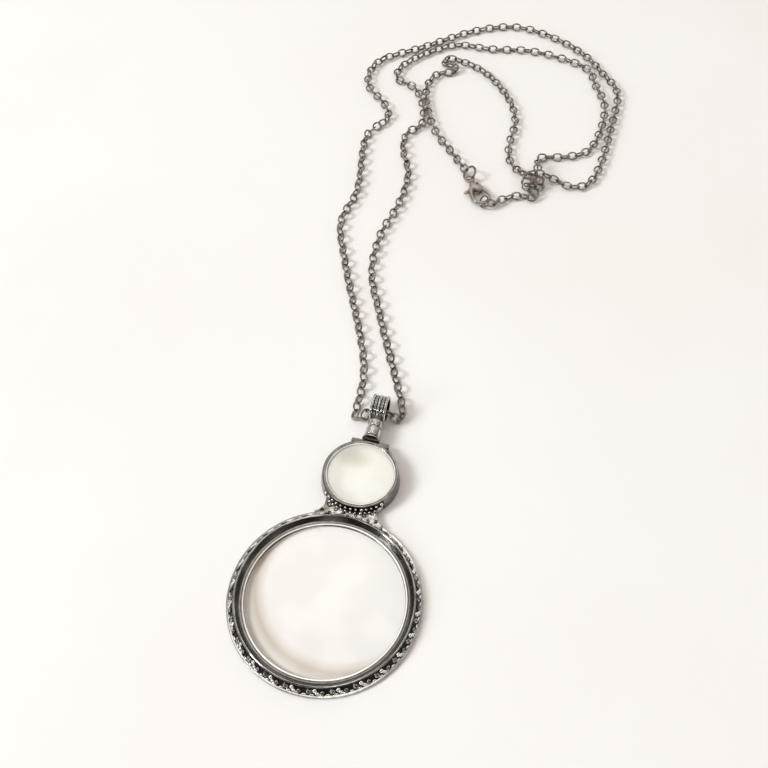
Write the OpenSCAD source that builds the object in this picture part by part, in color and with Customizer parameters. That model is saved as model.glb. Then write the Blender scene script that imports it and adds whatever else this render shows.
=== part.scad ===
// Magnifier pendant on a long cable chain: two round lenses in one cast frame, a turned post,
// a ribbed bail, and a lobster clasp. Everything lies flat; the back of the frame is at z = 0.

/* [Large ring] */
// Width of the large ring outside its lens
ring_wall = 3.45; // [3.3:0.05:4.2]
// Thickness of the outer lip
ring_lip_t = 0.8; // [0.6:0.05:1.1]
// Width of the plain lip outside the ornament
ring_lip_w = 0.65; // [0.4:0.05:0.9]
// Width of the ornamented slope, seen from above
band_w = 1.1; // [0.9:0.05:1.4]
// Height of the crest above the back
ring_h = 2.6; // [2.2:0.1:3.4]
// Width of the crest
crest_w = 0.4; // [0.3:0.05:0.6]
// Height of the step inside the crest
step_h = 1.3; // [1.25:0.05:1.6]

/* [Large lens] */
// Diameter of the large lens
large_lens_d = 38; // [37:0.1:38.4]
// Thickness of the large lens at its edge
large_lens_edge = 0.5; // [0.4:0.05:0.6]
// Rise of its curved face
large_lens_rise = 2.2; // [1.2:0.1:3]
// Width of the retaining ring that holds it
large_keeper_w = 0.5; // [0.3:0.05:0.7]
// Thickness of that ring
large_keeper_t = 0.3; // [0.2:0.05:0.35]

/* [Small ring] */
// Width of the small ring at the back, outside its lens
bezel_wall = 1.1; // [0.9:0.05:1.3]
// Width of its rim
bezel_rim_w = 0.65; // [0.5:0.05:0.8]
// How far the small ring's foot lies over the large ring's edge
ring_overlap = 0.05; // [0.02:0.01:0.3]
// Height of the small ring
bezel_h = 3.7; // [3.5:0.1:4.4]

/* [Small lens] */
// Diameter of the small lens
small_lens_d = 17.2; // [16.8:0.1:17.3]
// Thickness of the small lens at its edge
small_lens_edge = 2.7; // [2:0.1:2.8]
// Rise of its curved face
small_lens_rise = 1.3; // [0.8:0.1:1.8]
// Width of the retaining ring that holds it
small_keeper_w = 0.4; // [0.3:0.05:0.6]
// Thickness of that ring
small_keeper_t = 0.3; // [0.2:0.05:0.4]

/* [Seats] */
// Depth from the back to each lens
lens_recess = 0.35; // [0.3:0.05:0.5]
// Width of the ledge that each lens rests on
ledge_w = 0.65; // [0.4:0.05:0.9]
// Clearance between pieces that fit together
fit_gap = 0.05; // [0.03:0.01:0.08]

/* [Neck] */
// Radius of the concave sides of the neck
neck_fillet = 3.1; // [2.4:0.1:4]
// Thickness of the neck
neck_t = 1.7; // [1.3:0.1:2.2]
// Length of the bar behind the small ring
bar_l = 9.6; // [8:0.4:10]
// Thickness of the bar along the pendant
bar_t = 1.1; // [0.9:0.1:1.5]
// Height of the bar's lower face above the back
bar_low = 0.8; // [0.6:0.1:1.2]
// Height of the bar's upper face above the back
bar_top = 2.6; // [2.4:0.1:3.4]

/* [Relief] */
// Number of scroll and bead units round the large ring
relief_units = 26; // [20:1:30]
// Radius of a scroll's curl
scroll_r = 0.5; // [0.4:0.05:0.55]
// Radius of the raised wire of a scroll
scroll_wire = 0.22; // [0.18:0.02:0.26]
// Radius of a bead
bead_r = 0.36; // [0.3:0.02:0.42]
// Number of beads in each row of the neck
neck_beads = 13; // [9:1:14]

/* [Post] */
// Diameter of the lower collar
collar_low_d = 4; // [3.6:0.1:4.4]
// Diameter of the upper collar
collar_high_d = 3.7; // [3.3:0.1:4]
// Diameter of the groove between the collars
groove_d = 2.8; // [2.4:0.1:3]
// Thickness of the domed washer
washer_t = 0.9; // [0.7:0.1:1.2]
// Length of the lower collar
collar_low_l = 2.2; // [1.8:0.1:2.6]
// Length of the groove
groove_l = 0.5; // [0.4:0.1:0.7]
// Length of the upper collar
collar_high_l = 1.9; // [1.6:0.1:2.2]

/* [Bail] */
// Outside diameter of the bail
bail_od = 7; // [6.8:0.1:7.4]
// Bore that the chain runs through
bail_bore = 5.2; // [5:0.1:5.4]
// Width of the bail along its bore
bail_w = 4.1; // [3.8:0.1:5]
// Width of each of its three broad ribs
broad_rib_w = 0.7; // [0.6:0.05:0.8]
// Width of each fine rib between them
fine_rib_w = 0.26; // [0.2:0.02:0.3]
// Height of each fine rib above the wall
fine_rib_h = 0.25; // [0.15:0.05:0.3]
// Thickness of the bail's wall between the ribs
bail_wall = 0.45; // [0.35:0.05:0.5]
// Diameter of the foot that joins it to the post
foot_d = 3.2; // [2.8:0.1:3.4]
// Length of that foot before it meets the bail
foot_l = 0.25; // [0.2:0.05:0.6]

/* [Chain] */
// Width of the chain's envelope
chain_d = 2.4; // [2:0.1:2.5]
// Outside diameter of the jump ring at the clasp
jump_d = 5; // [4.8:0.1:5.2]
// Wire of the jump ring
jump_wire = 0.65; // [0.6:0.05:0.7]
// Lean of the jump ring from the table
jump_lean = 45; // [42:1:50]
// Outside diameter of the ring that the clasp hooks
end_ring_d = 4; // [3.9:0.1:4.3]
// Wire of that ring
end_ring_wire = 0.5; // [0.4:0.05:0.65]
// Lean of that ring from the table
end_ring_lean = 58; // [52:1:62]

/* [Clasp] */
// Length of the clasp
clasp_l = 12.7; // [12.6:0.1:13.2]
// Width of the clasp without its thumb piece
clasp_w = 6.4; // [6.3:0.1:6.6]
// Thickness of the clasp
clasp_t = 2.8; // [2.6:0.1:3]
// Width of the hook's arm
hook_w = 1.2; // [1.1:0.05:1.25]
// Thickness of the hook's arm
hook_t = 1.2; // [1.1:0.05:1.25]
// Outside radius of the clasp's eye
eye_r = 1.6; // [1.55:0.05:1.8]
// Radius of the hole in the eye
eye_hole_r = 1; // [1:0.02:1.06]
// Thickness of the eye
eye_t = 0.8; // [0.7:0.05:0.9]
// Thickness of the lever
lever_t = 1; // [0.8:0.05:1.1]
// Diameter of the lever's pin
pin_d = 0.8; // [0.7:0.05:0.9]
// How far the thumb piece stands out of the clasp
thumb_out = 0.9; // [0.8:0.1:1.2]

/* [Hidden] */
$fn = 48;

antique = [0.42, 0.42, 0.43];
bright = [0.72, 0.72, 0.73];
satin = [0.6, 0.57, 0.53];
clear_glass = [0.9, 0.93, 0.92, 0.4];
milky_glass = [0.92, 0.93, 0.88, 0.6];

// Large ring, radii from its axis
large_seat_r = large_lens_d / 2 + fit_gap;
ring_r = large_seat_r + ring_wall;
band_low_r = ring_r - ring_lip_w;
crest_r = band_low_r - band_w;
crest_in_r = crest_r - crest_w;
step_r = large_seat_r + 0.45;
large_lens_z = lens_recess + fit_gap;
band_tilt = atan2(ring_h - crest_w / 2 - ring_lip_t, band_w);

// Small ring
small_seat_r = small_lens_d / 2 + fit_gap;
bezel_r = small_seat_r + bezel_wall;
rim_r = small_seat_r + bezel_rim_w;
bezel_foot_h = 0.6;
lens_pitch = ring_r + bezel_r - ring_overlap;
bezel_at = [0, lens_pitch, 0];

// Neck: a circle of neck_fillet touches both rings from outside.
neck_a = ring_r + neck_fillet;
neck_b = bezel_r + neck_fillet;
neck_y = (neck_a * neck_a - neck_b * neck_b + lens_pitch * lens_pitch) / (2 * lens_pitch);
neck_x = sqrt(neck_a * neck_a - neck_y * neck_y);
scroll_in = 1.15;

// Bar, post and bail follow each other up the pendant.
bar_y = lens_pitch + bezel_r - 0.75;
post_y = bar_y + bar_t + fit_gap;
post_l = washer_t + collar_low_l + groove_l + collar_high_l;
bail_r = bail_od / 2;
bail_y = post_y + post_l + fit_gap + foot_l + bail_r;
post_z = 2.8;

// Clasp: its eye's centre, and its length's direction on the table
eye_at = [6.1, 139.4];
clasp_turn = -55;
clasp_mid = clasp_t / 2;
claw_r = clasp_w / 2;
claw_u = clasp_l - claw_r;
claw_hole_r = claw_r - hook_w;
pivot = [5, 0.7];
pin_r = pin_d / 2;
hub_r = 1.05;
slot_t = lever_t + 0.2;
thumb_u = 6.6;
gate_w = 0.7;
gate_reach = 5.45;

// Jump ring: it leans, and its wire passes through the middle of the eye.
jump_r = (jump_d - jump_wire) / 2;
jump_z = jump_r * sin(jump_lean) + jump_wire / 2;
jump_pass = asin((jump_z - clasp_mid) / (jump_r * sin(jump_lean)));
jump_turn = 118;

// End ring: it leans round the far end of the hook.
end_ring_r = (end_ring_d - end_ring_wire) / 2;
end_ring_z = end_ring_r * sin(end_ring_lean) + end_ring_wire / 2;
end_ring_slide = -0.15;
end_ring_turn = 0;

// The chain's route, from the jump ring to the end ring. Each row is x, y and the lift
// above the table, measured from the centre of the large lens.
CHAIN_ROUTE = [
  [2.8, 144.2, 0.4], [-0.6, 148.6, 0], [-9.2, 158.6, 0], [-15.4, 174, 0], [-15.6, 181, 0],
  [-13, 186, 0], [-8.6, 187.2, 0], [-8.6, 190, 0], [-12.8, 190.6, 0], [-12.4, 193.6, 0],
  [-6.5, 193, 0], [1, 189.6, 0], [7, 184, 0], [12.5, 176, 0], [15, 168, 0], [15, 156, 0],
  [16.6, 150, 0], [19.8, 146.2, 0.4], [21.6, 144, 2.4], [22, 140, 2.6], [25.2, 139.8, 2.6],
  [25.2, 148, 2.6], [25.2, 150.8, 1.2], [24.4, 153.6, 0], [34, 156.8, 0], [39.4, 161, 0],
  [41.8, 182, 0], [37, 193, 0], [34.6, 199, 0], [26, 202.6, 0], [14, 204.2, 0], [0, 201.8, 0],
  [-11.5, 201, 0], [-26, 186.4, 0], [-26.4, 179.6, 0], [-19.4, 176.4, 0], [-13.4, 160, 0],
  [-17.2, 155, 0], [-16.8, 148, 0], [-12.8, 138, 0], [-12.4, 126, 0], [-14.8, 111, 0],
  [-13.8, 97, 0], [-8, 83, 0], [4.2, 57, 0], [5.7, 53.2, 0], [5, 50.4, 0], [2.9, 51.4, 1],
  [-2.9, 51.5, 1], [-3.4, 49.2, 0.2], [-5.9, 48.7, 0], [-6.2, 52, 0], [-7.4, 64, 0],
  [-22, 98.5, 0], [-27.4, 113.5, 0], [-26, 126, 0], [-29, 152, 0], [-24.6, 160, 0],
  [-27, 166, 0], [-35, 174.6, 0], [-34.6, 186, 0], [-22, 197, 0], [-4, 211.6, 0],
  [8, 215.8, 0], [22, 212.4, 0], [32.6, 205.8, 0], [39.4, 198, 0], [44.6, 191, 0],
  [45, 176, 0], [41.2, 146.4, 0], [36.2, 143.8, 0], [28.4, 146.8, 0], [23.2, 147, 0],
  [23, 144.4, 0], [27.6, 144.2, 0], [27.8, 141.6, 0], [23.2, 141.6, 0], [23, 139, 0],
  [26.8, 139.1, 0], [26.2, 136.4, 0], [21.4, 136.4, 0], [16.6, 133.2, 0.2],
  [14.5, 130.2, 0.8]];

// Centre of the large lens: it sets the middle of the whole necklace at the origin.
route_x = [for (p = CHAIN_ROUTE) p[0]];
route_y = [for (p = CHAIN_ROUTE) p[1]];
pendant_at = [-(min(route_x) + max(route_x)) / 2, -(max(route_y) + chain_d / 2 - ring_r) / 2];

// Rings of a tube: eight points round each point of a route, square to its bend
function unit(v) = v / norm(v);
function lifted(p, r) = [p[0], p[1], p[2] + r];
function heading(path, i) =
  let (a = path[max(i - 1, 0)], b = path[min(i + 1, len(path) - 1)]) unit(b - a);
function tube_ring(at, along, r, sides) =
  let (side = unit(cross([0, 0, 1], along)), up = cross(along, side))
  [for (k = [0 : sides - 1]) at + r * (cos((k + 0.5) * 360 / sides) * side
                                     + sin((k + 0.5) * 360 / sides) * up)];

module tube(path, r, sides) {
  n = len(path);
  points = [for (i = [0 : n - 1]) each tube_ring(path[i], heading(path, i), r, sides)];
  walls = [for (i = [0 : n - 2]) for (k = [0 : sides - 1])
           let (a = i * sides + k, b = i * sides + (k + 1) % sides)
           each [[a, a + sides, b], [b, a + sides, b + sides]]];
  caps = [[for (k = [0 : sides - 1]) k],
          [for (k = [sides - 1 : -1 : 0]) (n - 1) * sides + k]];
  polyhedron(points = points, faces = concat(walls, caps));
}

module on_pendant() translate([pendant_at[0], pendant_at[1], 0]) children();
module on_bezel() on_pendant() translate(bezel_at) children();
module on_clasp() on_pendant() translate([eye_at[0], eye_at[1], 0])
  rotate([0, 0, clasp_turn]) translate([-eye_r, 0, 0]) children();
module wire_ring(d, wire) rotate_extrude() translate([(d - wire) / 2, 0]) circle(wire / 2);
module flat_ring(r_out, r_in, h) linear_extrude(h) difference() {
  circle(r_out);
  circle(r_in);
}

// A lens: flat below, with a spherical face above a straight edge
module lens(d, edge, rise) {
  r = d / 2;
  ball = (r * r + rise * rise) / (2 * rise);
  intersection() {
    cylinder(r = r, h = edge + rise + 1);
    translate([0, 0, edge + rise - ball]) sphere(ball, $fn = 240);
  }
}

module large_ring_section() {
  polygon([
    [large_seat_r - ledge_w, 0], [ring_r - 0.2, 0], [ring_r, 0.2], [ring_r, ring_lip_t - 0.2],
    [ring_r - 0.2, ring_lip_t], [band_low_r, ring_lip_t], [crest_r, ring_h - crest_w / 2],
    [crest_in_r, ring_h - crest_w / 2], [step_r, step_h], [large_seat_r, step_h],
    [large_seat_r, lens_recess], [large_seat_r - ledge_w, lens_recess]]);
  translate([crest_r - crest_w / 2, ring_h - crest_w / 2]) circle(crest_w / 2);
}

module bezel_section() {
  polygon([
    [small_seat_r - ledge_w, 0], [bezel_r - 0.2, 0], [bezel_r, 0.2], [bezel_r, bezel_foot_h],
    [rim_r, bezel_h - 0.2], [rim_r - 0.15, bezel_h], [small_seat_r + 0.1, bezel_h],
    [small_seat_r, bezel_h - 0.2], [small_seat_r, lens_recess],
    [small_seat_r - ledge_w, lens_recess]]);
}

module neck_plate() linear_extrude(neck_t) difference() {
  polygon([[0, 0], [neck_x, neck_y], [0, lens_pitch], [-neck_x, neck_y]]);
  for (side = [-1, 1]) translate([side * neck_x, neck_y]) circle(neck_fillet);
  circle(crest_r);
  translate([0, lens_pitch]) circle(small_seat_r + 0.3);
}

// Places its children on the ornamented slope, with x down the slope and z out of it
module on_band(angle) rotate([0, 0, angle])
  translate([crest_r + band_w / 2, 0, (ring_h - crest_w / 2 + ring_lip_t) / 2])
  rotate([0, band_tilt, 0]) children();

// A bead on a stem that sinks into the metal below it
module bead(r) rotate_extrude() {
  intersection() {
    circle(r);
    square(r);
  }
  translate([0, -0.4]) square([r, 0.4]);
}

module relief_unit() {
  translate([0.1, 0, -0.05]) rotate([0, 0, 200]) rotate_extrude(angle = 250)
    translate([scroll_r, 0]) circle(scroll_wire);
  translate([-0.25, 1.2, 0.04]) bead(bead_r);
  translate([0.45, 1.8, 0]) bead(bead_r * 0.9);
}

// Two rows of beads on the front of the small ring, and a scroll on each side of the neck
module neck_relief() {
  for (i = [0 : neck_beads - 1]) {
    turn = -90 + (i / (neck_beads - 1) - 0.5) * 92;
    translate(bezel_at) rotate([0, 0, turn]) translate([rim_r + 0.2, 0, bezel_h - 0.95])
      rotate([0, 90, 0]) bead(bead_r);
    translate(bezel_at) rotate([0, 0, turn * 0.9 - 9]) translate([bezel_r + 0.2, 0, neck_t + 0.1])
      bead(bead_r * 0.9);
  }
  for (side = [-1, 1]) translate([side * (neck_x - neck_fillet - scroll_in), neck_y - 0.5, neck_t]) {
    rotate([0, 0, 90 - side * 60]) rotate_extrude(angle = 250)
      translate([scroll_r, 0]) circle(scroll_wire);
    translate([side * 1.2, -0.6, 0.05]) bead(bead_r);
  }
}

module lens_frame() color(antique) on_pendant() {
  rotate_extrude() large_ring_section();
  translate(bezel_at) rotate_extrude() bezel_section();
  neck_plate();
  translate([-bar_l / 2, bar_y, bar_low]) cube([bar_l, bar_t, bar_top - bar_low]);
  for (i = [0 : relief_units - 1]) on_band(90 + (i + 0.5) * 360 / relief_units) relief_unit();
  neck_relief();
}

module large_lens() color(clear_glass) on_pendant() translate([0, 0, large_lens_z])
  lens(large_lens_d, large_lens_edge, large_lens_rise);

module large_keeper() color(bright) on_pendant()
  translate([0, 0, large_lens_z + large_lens_edge + fit_gap + 0.12])
  flat_ring(large_seat_r - fit_gap, large_seat_r - fit_gap - large_keeper_w, large_keeper_t);

module small_lens() color(milky_glass) on_bezel() translate([0, 0, lens_recess + fit_gap])
  lens(small_lens_d, small_lens_edge, small_lens_rise);

module small_keeper() color(bright) on_bezel()
  translate([0, 0, lens_recess + small_lens_edge + 2 * fit_gap + 0.16])
  flat_ring(small_seat_r - fit_gap, small_seat_r - fit_gap - small_keeper_w, small_keeper_t);

// The post is turned: its outline is radius against length, with a domed washer at its foot.
module post() color(bright) on_pendant() translate([0, post_y, post_z]) rotate([-90, 0, 0])
  rotate_extrude() {
    low = washer_t + collar_low_l;
    high = low + groove_l;
    polygon([
      [0, 0], [collar_low_d / 2 + 0.25, 0], [collar_low_d / 2 + 0.25, 0.3],
      [collar_low_d / 2 - 0.5, washer_t], [collar_low_d / 2 - 0.15, washer_t],
      [collar_low_d / 2, washer_t + 0.2], [collar_low_d / 2, low - 0.2],
      [collar_low_d / 2 - 0.2, low], [groove_d / 2, low], [groove_d / 2, high],
      [collar_high_d / 2 - 0.2, high], [collar_high_d / 2, high + 0.2],
      [collar_high_d / 2, post_l - 0.2], [collar_high_d / 2 - 0.2, post_l], [0, post_l]]);
  }

// The bail is a short barrel across the pendant, with three broad ribs and fine ribs between.
module rib(at, top_r, w) {
  translate([bail_bore / 2, at - w / 2]) square([top_r - w / 2 - bail_bore / 2, w]);
  translate([top_r - w / 2, at]) circle(w / 2);
}

module bail_section() {
  floor_r = bail_bore / 2 + bail_wall;
  span = (bail_w - broad_rib_w) / 2;
  translate([bail_bore / 2, -span]) square([floor_r - bail_bore / 2, 2 * span]);
  for (i = [-1 : 1]) rib(i * span, bail_r, broad_rib_w);
  for (side = [-1, 1]) for (k = [1, 2])
    rib(side * (broad_rib_w / 2 + k * (span - broad_rib_w) / 3), floor_r + fine_rib_h, fine_rib_w);
}

module bail() color(antique) on_pendant() difference() {
  union() {
    translate([0, bail_y, bail_r]) rotate([0, 90, 0]) rotate_extrude() bail_section();
    translate([0, bail_y - bail_r - foot_l, post_z]) rotate([-90, 0, 0])
      cylinder(d = foot_d, h = foot_l + bail_r - bail_bore / 2);
  }
  translate([-bail_w, bail_y, bail_r]) rotate([0, 90, 0]) cylinder(d = bail_bore, h = 2 * bail_w);
}

module chain() color(antique) on_pendant()
  tube([for (p = CHAIN_ROUTE) lifted(p, chain_d / 2)], chain_d / 2, 8);

module jump_ring() color(antique) on_pendant() translate([eye_at[0], eye_at[1], 0])
  rotate([0, 0, jump_turn])
  translate([jump_r * cos(jump_pass), -jump_r * sin(jump_pass) * cos(jump_lean), jump_z])
  rotate([-jump_lean, 0, 0]) wire_ring(jump_d, jump_wire);

module end_ring() color(antique) on_clasp()
  translate([claw_u, 0, 0]) rotate([0, 0, end_ring_turn])
  translate([claw_r - hook_w / 2 + end_ring_slide, 0, end_ring_z])
  rotate([end_ring_lean, 0, 0]) wire_ring(end_ring_d, end_ring_wire);

// Outline of the clasp: an eye, a widening shank, and a round claw
module clasp_outline() {
  translate([eye_r, 0]) circle(eye_r);
  polygon([[eye_r, -1.2], [claw_u - 1.4, -claw_r + 0.32], [claw_u, -claw_r],
           [claw_u, claw_r], [claw_u - 1.4, claw_r - 0.32], [eye_r, 1.2]]);
  translate([claw_u, 0]) circle(claw_r);
}

// Room in the shank that the lever and its thumb piece sweep
module lever_room() {
  translate(pivot) circle(hub_r + 0.2);
  polygon([[pivot[0] - 1.2, pivot[1]], [pivot[0] - 1.6, -claw_r - 1], [thumb_u + 0.9, -claw_r - 1],
           [thumb_u + 0.9, -1.2], [pivot[0] + 1.2, pivot[1]]]);
  polygon([[pivot[0] - 0.4, pivot[1] - 0.6], [pivot[0], claw_r + 1], [claw_u, claw_r + 1],
           [claw_u, -0.8]]);
}

// The gate's gap ends in an arc round the pivot, so that the gate swings inwards clear of it.
module gate_gap() intersection() {
  translate(pivot) circle(gate_reach + 0.12, $fn = 96);
  polygon([[pivot[0] + 0.9, claw_r + 1], [pivot[0] + 1.7, 1.1], [claw_u - 1, 0.6],
           [claw_u + claw_r, 0.6], [claw_u + claw_r, claw_r + 1]]);
}

// The clasp seen from its side: thin at the eye, full at the shank, and thin again at the hook
module clasp_side() {
  half = [[-0.1, eye_t / 2], [2 * eye_r, eye_t / 2], [2 * eye_r + 1.4, clasp_t / 2],
          [claw_u - 2, clasp_t / 2], [claw_u + 1, hook_t / 2], [clasp_l + 0.1, hook_t / 2]];
  polygon([for (p = half) [p[0], clasp_mid + p[1]],
           for (i = [len(half) - 1 : -1 : 0]) [half[i][0], clasp_mid - half[i][1]]]);
}

module clasp_body() color(satin) on_clasp() difference() {
  intersection() {
    linear_extrude(clasp_t) clasp_outline();
    rotate([90, 0, 0]) translate([0, 0, -clasp_w]) linear_extrude(2 * clasp_w) clasp_side();
  }
  translate([eye_r, 0, -1]) cylinder(r = eye_hole_r, h = clasp_t + 2);
  translate([claw_u, 0, -1]) cylinder(r = claw_hole_r, h = clasp_t + 2);
  translate([0, 0, clasp_mid - slot_t / 2]) linear_extrude(slot_t) lever_room();
  translate([0, 0, -1]) linear_extrude(clasp_t + 2) gate_gap();
  translate([pivot[0], pivot[1], -1]) cylinder(r = pin_r + fit_gap, h = clasp_t + 2);
}

// The gate follows the claw's outline, and its tip stays within gate_reach of the pivot.
module gate_tip() intersection() {
  translate(pivot) circle(gate_reach, $fn = 96);
  difference() {
    translate([claw_u, 0]) circle(claw_r - 0.1);
    translate([claw_u, 0]) circle(claw_r - 0.1 - gate_w);
    translate([claw_u - 2 * claw_r - 1.2, -claw_r]) square([2 * claw_r, 2 * claw_r]);
    translate([claw_u - claw_r, -2 * claw_r]) square([2 * claw_r, 2 * claw_r + 1]);
  }
}

module lever_arm() polygon([
  [pivot[0] - 0.2, pivot[1] + hub_r - 0.05], [claw_u - 1, claw_r - 0.3],
  [claw_u - 0.9, claw_r - 0.9], [claw_u - 1.6, claw_r - 1.3], [pivot[0] + 0.7, pivot[1] - 0.4]]);

module thumb_piece() polygon([
  [pivot[0] - 0.5, pivot[1] - 0.8], [thumb_u - 0.7, -claw_r - thumb_out],
  [thumb_u + 0.5, -claw_r - thumb_out], [pivot[0] + 1, pivot[1] - 0.2]]);

module clasp_lever() color(satin) on_clasp() translate([0, 0, clasp_mid - lever_t / 2])
  difference() {
    union() {
      translate([pivot[0], pivot[1], 0]) cylinder(r = hub_r, h = lever_t);
      linear_extrude(lever_t) gate_tip();
      linear_extrude(lever_t) lever_arm();
      linear_extrude(lever_t) thumb_piece();
    }
    translate([pivot[0], pivot[1], -1]) cylinder(r = pin_r + fit_gap, h = lever_t + 2);
  }

module clasp_pin() color(bright) on_clasp() translate([pivot[0], pivot[1], 0])
  cylinder(r = pin_r, h = clasp_t);

lens_frame();
large_lens();
large_keeper();
small_lens();
small_keeper();
post();
bail();
chain();
jump_ring();
end_ring();
clasp_body();
clasp_lever();
clasp_pin();
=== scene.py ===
"""Magnifier pendant on a long cable chain, laid on a pale table. Metres, in the part's frame."""
import math

import bmesh
import bpy
from mathutils import Matrix, Vector, noise


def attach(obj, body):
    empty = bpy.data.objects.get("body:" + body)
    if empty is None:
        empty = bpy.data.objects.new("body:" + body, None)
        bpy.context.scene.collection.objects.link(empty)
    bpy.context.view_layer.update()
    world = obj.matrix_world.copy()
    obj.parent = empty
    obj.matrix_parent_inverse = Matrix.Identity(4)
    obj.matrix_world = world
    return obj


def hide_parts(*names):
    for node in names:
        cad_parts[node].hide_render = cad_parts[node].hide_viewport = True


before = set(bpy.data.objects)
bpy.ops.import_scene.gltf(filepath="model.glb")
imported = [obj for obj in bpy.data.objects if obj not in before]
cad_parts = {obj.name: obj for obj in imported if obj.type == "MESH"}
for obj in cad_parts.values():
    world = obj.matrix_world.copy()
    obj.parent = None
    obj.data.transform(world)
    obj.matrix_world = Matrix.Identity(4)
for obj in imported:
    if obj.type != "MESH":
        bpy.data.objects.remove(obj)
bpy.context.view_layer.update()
MM = 0.001
ROOT = "necklace"

# The table: a large board with warm white paint, brushed on by hand and a little uneven.
# It is the floor of the scene and no part of the necklace.
TABLE_SIZE = 2.4
TABLE_WHITE = (0.86, 0.85, 0.845, 1)
TABLE_SHADE = (0.825, 0.807, 0.793, 1)
STROKE_DEPTH = 0.0006


def new_material(name):
    """An empty node material with its Principled shader, ready for its nodes."""
    material = bpy.data.materials.new(name)
    material.use_nodes = True
    nodes = material.node_tree.nodes
    return material, nodes, material.node_tree.links, nodes["Principled BSDF"]


def add_noise(nodes, links, coords, scale, detail=4.0):
    """Adds a noise texture on the given coordinates and returns its value."""
    texture = nodes.new("ShaderNodeTexNoise")
    texture.inputs["Scale"].default_value = scale
    texture.inputs["Detail"].default_value = detail
    links.new(coords, texture.inputs["Vector"])
    return texture.outputs["Fac"]


def add_ramp(nodes, links, value, stops):
    """Adds a colour ramp over a value, with stops of (place, colour), and returns its colour."""
    ramp = nodes.new("ShaderNodeValToRGB")
    elements = ramp.color_ramp.elements
    while len(elements) < len(stops):
        elements.new(0.5)
    for element, (place, colour) in zip(elements, stops):
        element.position = place
        element.color = colour
    links.new(value, ramp.inputs["Fac"])
    return ramp.outputs["Color"]


def add_bump(nodes, links, height, strength, distance, shader):
    """Links a bump from a height into a shader's normal."""
    bump = nodes.new("ShaderNodeBump")
    bump.inputs["Strength"].default_value = strength
    bump.inputs["Distance"].default_value = distance
    links.new(height, bump.inputs["Height"])
    links.new(bump.outputs["Normal"], shader.inputs["Normal"])


def finish_piece(name, bm, material, smooth_deg=40):
    """Turns a bmesh into an object at the origin with one material and smooth shading."""
    mesh = bpy.data.meshes.new(name)
    bm.to_mesh(mesh)
    bm.free()
    mesh.shade_smooth()
    mesh.set_sharp_from_angle(angle=math.radians(smooth_deg))
    mesh.materials.append(material)
    piece = bpy.data.objects.new(name, mesh)
    bpy.context.collection.objects.link(piece)
    return piece


table_bm = bmesh.new()
bmesh.ops.create_grid(table_bm, x_segments=2, y_segments=2, size=TABLE_SIZE / 2)
table_paint, nodes, links, shader = new_material("table_paint")
coords = nodes.new("ShaderNodeTexCoord").outputs["Object"]
clouds = add_noise(nodes, links, coords, 9.0, 5.0)
paint = add_ramp(nodes, links, clouds, [(0.25, TABLE_SHADE), (0.6, TABLE_WHITE)])
links.new(paint, shader.inputs["Base Color"])
shader.inputs["Roughness"].default_value = 0.55
shader.inputs["Specular IOR Level"].default_value = 0.25
strokes = nodes.new("ShaderNodeMapping")
strokes.inputs["Scale"].default_value = (1.0, 7.0, 1.0)
links.new(coords, strokes.inputs["Vector"])
brushing = add_noise(nodes, links, strokes.outputs["Vector"], 40.0, 6.0)
add_bump(nodes, links, brushing, 0.12, STROKE_DEPTH, shader)
table = finish_piece("table", table_bm, table_paint)

# The metal of the pendant: zinc alloy, cast, plated in black nickel and polished, with antique
# black in its grooves. The ground under its relief is near black, partly painted dark reflection.
# One group gives the wear and stain that all its pieces share.
METAL_DARK = (0.06, 0.06, 0.062, 1)
METAL_LIGHT = (0.62, 0.615, 0.61, 1)
PATCH_SCALE = 700.0
STAIN_ROUGHNESS = 0.16
GRAIN_SCALE = 2600.0
GRAIN_DEPTH = 0.00002


def make_wear_group():
    """Node group: colour and roughness that vary a little over plated metal."""
    group = bpy.data.node_groups.new("plated_wear", "ShaderNodeTree")
    face = group.interface
    face.new_socket("Vector", in_out="INPUT", socket_type="NodeSocketVector")
    face.new_socket("Light", in_out="INPUT", socket_type="NodeSocketColor")
    face.new_socket("Dark", in_out="INPUT", socket_type="NodeSocketColor")
    face.new_socket("Stain", in_out="INPUT", socket_type="NodeSocketFloat")
    face.new_socket("Gloss", in_out="INPUT", socket_type="NodeSocketFloat")
    face.new_socket("Color", in_out="OUTPUT", socket_type="NodeSocketColor")
    face.new_socket("Roughness", in_out="OUTPUT", socket_type="NodeSocketFloat")
    inner, wires = group.nodes, group.links
    entry = inner.new("NodeGroupInput")
    leave = inner.new("NodeGroupOutput")
    patches = inner.new("ShaderNodeTexNoise")
    patches.inputs["Scale"].default_value = PATCH_SCALE
    patches.inputs["Detail"].default_value = 5.0
    wires.new(entry.outputs["Vector"], patches.inputs["Vector"])
    spread = inner.new("ShaderNodeMapRange")
    spread.inputs["From Min"].default_value = 0.42
    spread.inputs["From Max"].default_value = 0.75
    wires.new(patches.outputs["Fac"], spread.inputs["Value"])
    amount = inner.new("ShaderNodeMath")
    amount.operation = "MULTIPLY"
    wires.new(spread.outputs["Result"], amount.inputs[0])
    wires.new(entry.outputs["Stain"], amount.inputs[1])
    mix = inner.new("ShaderNodeMix")
    mix.data_type = "RGBA"
    wires.new(amount.outputs[0], mix.inputs["Factor"])
    wires.new(entry.outputs["Light"], mix.inputs["A"])
    wires.new(entry.outputs["Dark"], mix.inputs["B"])
    wires.new(mix.outputs["Result"], leave.inputs["Color"])
    rough = inner.new("ShaderNodeMath")
    rough.operation = "MULTIPLY_ADD"
    rough.inputs[1].default_value = STAIN_ROUGHNESS
    wires.new(amount.outputs[0], rough.inputs[0])
    wires.new(entry.outputs["Gloss"], rough.inputs[2])
    wires.new(rough.outputs[0], leave.inputs["Roughness"])
    return group


wear_group = make_wear_group()


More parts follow.
